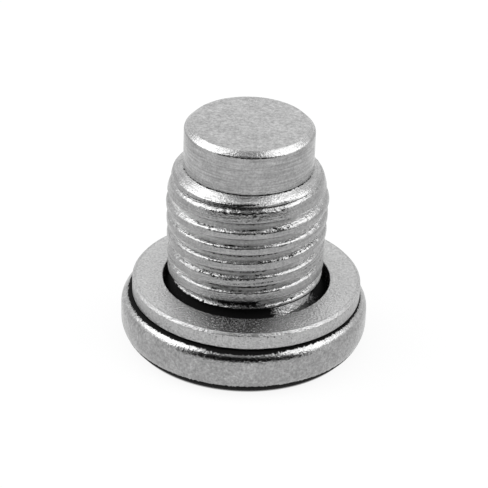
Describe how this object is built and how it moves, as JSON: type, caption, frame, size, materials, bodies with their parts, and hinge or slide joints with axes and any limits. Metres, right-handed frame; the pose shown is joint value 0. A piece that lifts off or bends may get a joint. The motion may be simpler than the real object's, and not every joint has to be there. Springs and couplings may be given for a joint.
{
  "type": "oil drain plug",
  "caption": "Round-headed drain plug with an undercut neck, M14 x 1.5 thread, plain pilot and hexagon socket, with a loose flat sealing ring on its head",
  "frame": {"origin": "centre of the head's underside, on the thread's axis", "axes": "+Z along the shank from the head to the pilot's tip; the hexagon socket's flats face +Y and -Y"},
  "size_m": [0.0212, 0.0212, 0.0204],
  "materials": {
    "plated_steel": "zinc-plated, turned and rolled",
    "ring_metal": "blanked sheet, tumbled matt"
  },
  "bodies": {
    "root": {"plug_body": "plated_steel", "sealing_washer": "ring_metal"}
  },
  "joints": []
}
